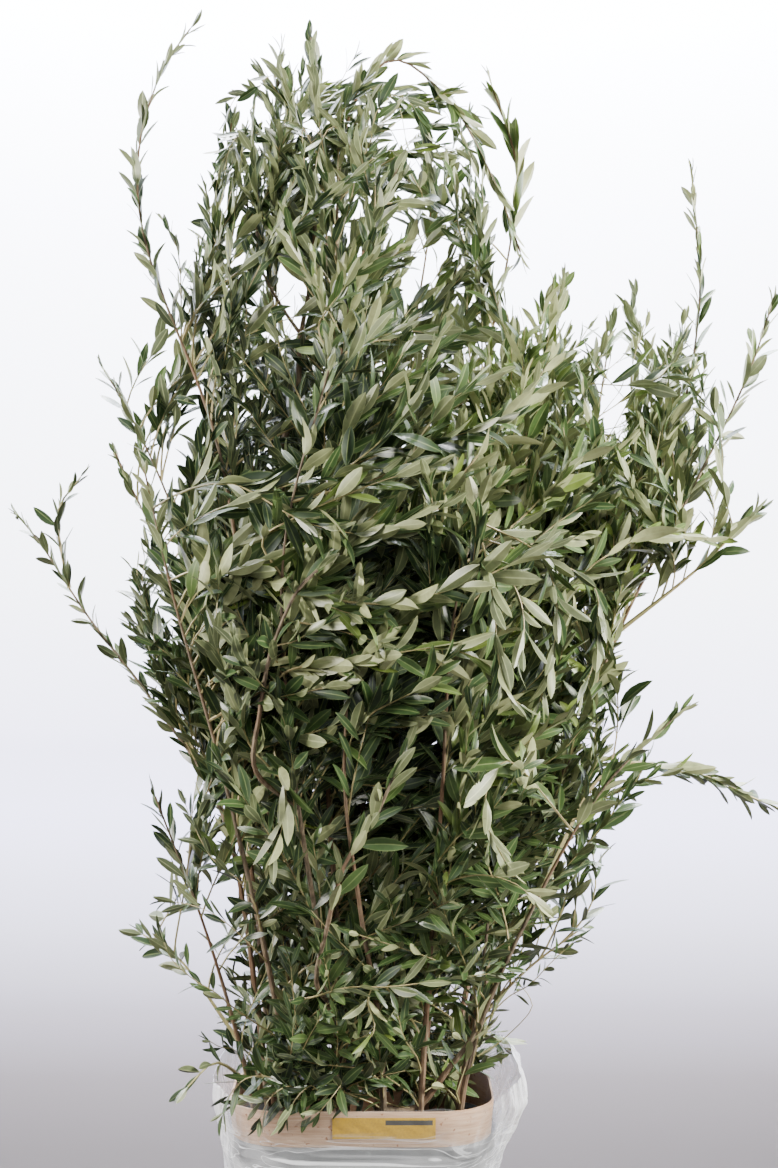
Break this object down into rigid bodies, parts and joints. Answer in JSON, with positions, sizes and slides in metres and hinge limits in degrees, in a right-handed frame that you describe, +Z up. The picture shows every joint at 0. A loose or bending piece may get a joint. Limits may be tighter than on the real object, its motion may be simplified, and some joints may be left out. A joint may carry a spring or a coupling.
{
  "type": "bunch of olive branches in a bucket",
  "caption": "Tall bunch of cut olive branches with narrow leaves, standing in an oblong bucket that has a collar and a loose wrap of clear film.",
  "frame": {"origin": "middle of the bucket's underside", "axes": "+Z up along the stems, -Y towards the front with the label, +X to the right of the front"},
  "size_m": [1.1372, 0.8332, 1.883],
  "materials": {
    "olive_foliage": "green leaves with silvery undersides on grey-brown bark",
    "bucket_plastic": "dark grey, satin",
    "collar_board": "thin pale veneer board",
    "label_paper": "yellow, matt",
    "clear_film": "clear and creased",
    "water": "clear liquid"
  },
  "bodies": {
    "root": {"branch_01": "olive_foliage", "branch_02": "olive_foliage", "branch_03": "olive_foliage", "branch_04": "olive_foliage", "branch_05": "olive_foliage", "branch_06": "olive_foliage", "branch_07": "olive_foliage", "branch_08": "olive_foliage", "branch_09": "olive_foliage", "branch_10": "olive_foliage", "branch_11": "olive_foliage", "branch_12": "olive_foliage", "branch_13": "olive_foliage", "branch_14": "olive_foliage", "branch_15": "olive_foliage", "branch_16": "olive_foliage", "branch_17": "olive_foliage", "branch_18": "olive_foliage", "branch_19": "olive_foliage", "branch_20": "olive_foliage", "branch_21": "olive_foliage", "branch_22": "olive_foliage", "branch_23": "olive_foliage", "branch_24": "olive_foliage", "bucket": "bucket_plastic", "collar": "collar_board", "label": "label_paper", "film": "clear_film", "water": "water"}
  },
  "joints": []
}
